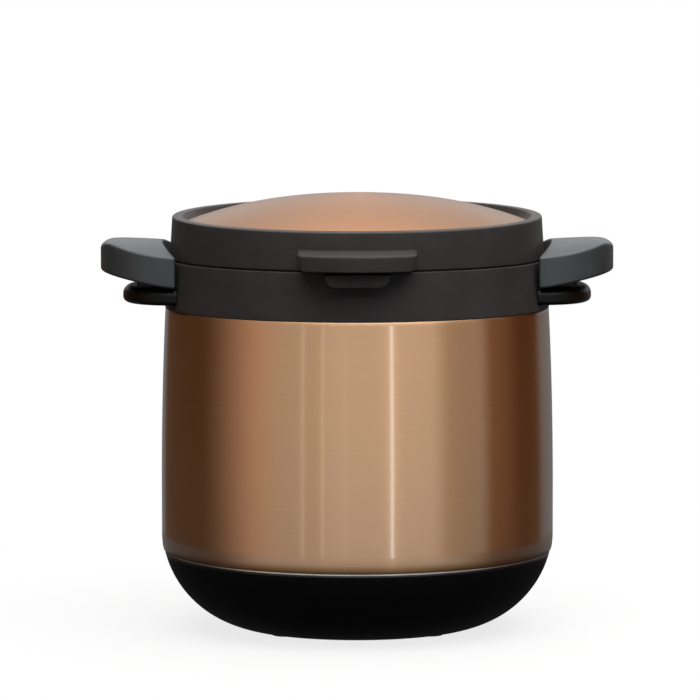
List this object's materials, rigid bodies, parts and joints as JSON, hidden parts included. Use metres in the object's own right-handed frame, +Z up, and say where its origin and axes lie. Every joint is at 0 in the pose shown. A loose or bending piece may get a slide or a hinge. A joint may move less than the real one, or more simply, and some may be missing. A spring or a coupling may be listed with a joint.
{
  "type": "thermal cooker",
  "caption": "Round vacuum-walled thermal cooker with side handles, a hinged domed lid with a front tab, and a lift-out cooking pot with its own lid.",
  "frame": {"origin": "on the floor under the middle of the body", "axes": "+Z up, front with the lid's tab toward -Y, hinge toward +Y, side handles along X"},
  "size_m": [0.335, 0.2848, 0.2834],
  "materials": {
    "copper_steel": "brushed steel with a copper-coloured tint",
    "steel": "satin stainless steel",
    "zinc_steel": "plated steel",
    "disc_aluminium": "turned aluminium",
    "foil": "bright foil",
    "dark_plastic": "satin moulded plastic, brown-black",
    "black_plastic": "semi-gloss black plastic",
    "grey_plastic": "fine-textured blue-grey plastic",
    "heatproof_plastic": "heatproof black moulding",
    "liner_plastic": "light grey moulded liner",
    "silicone": "translucent grey silicone",
    "foot_rubber": "matte rubber",
    "foam": "light insulating foam"
  },
  "bodies": {
    "vessel": {"base_cup": "black_plastic", "rubber_feet": "foot_rubber", "base_screws": "zinc_steel", "weld_nuts": "zinc_steel", "steel_bottom": "steel", "vacuum_seal": "steel", "getter": "zinc_steel", "outer_shell": "copper_steel", "inner_vessel": "steel", "foil_wrap": "foil", "mouth_seal": "silicone", "shoulder_ring": "dark_plastic", "handle_bracket_left": "black_plastic", "handle_bracket_right": "black_plastic", "handle_grip_left": "grey_plastic", "handle_grip_right": "grey_plastic", "bracket_screws": "zinc_steel", "grip_screws": "zinc_steel", "hinge_bracket": "dark_plastic", "hinge_screws": "zinc_steel", "hinge_pin": "steel", "pin_clip": "zinc_steel"},
    "lid": {"lid_frame": "dark_plastic", "lid_dome": "copper_steel", "lid_foam": "foam", "lid_liner": "liner_plastic", "lid_seal": "silicone", "liner_screws": "zinc_steel"},
    "pot": {"cooking_pot": "steel", "pot_base_disc": "disc_aluminium", "pot_strap_left": "steel", "pot_strap_right": "steel", "pot_grip_left": "heatproof_plastic", "pot_grip_right": "heatproof_plastic", "pot_rivets": "steel"},
    "pot_cover": {"pot_lid": "steel", "pot_lid_knob": "heatproof_plastic", "knob_washer": "silicone", "knob_screw": "zinc_steel"}
  },
  "joints": [
    {"name": "lid_hinge", "type": "hinge", "parent": "vessel", "child": "lid", "pos_m": [0, 0.1344, 0.2424], "axis": [-1, 0, 0], "range_deg": [0, 95]},
    {"name": "pot_turn", "type": "hinge", "parent": "vessel", "child": "pot", "pos_m": [0, 0, 0.025], "axis": [0, 0, 1], "continuous": true},
    {"name": "pot_lid_turn", "type": "hinge", "parent": "pot", "child": "pot_cover", "pos_m": [0, 0, 0.2027], "axis": [0, 0, 1], "continuous": true}
  ]
}
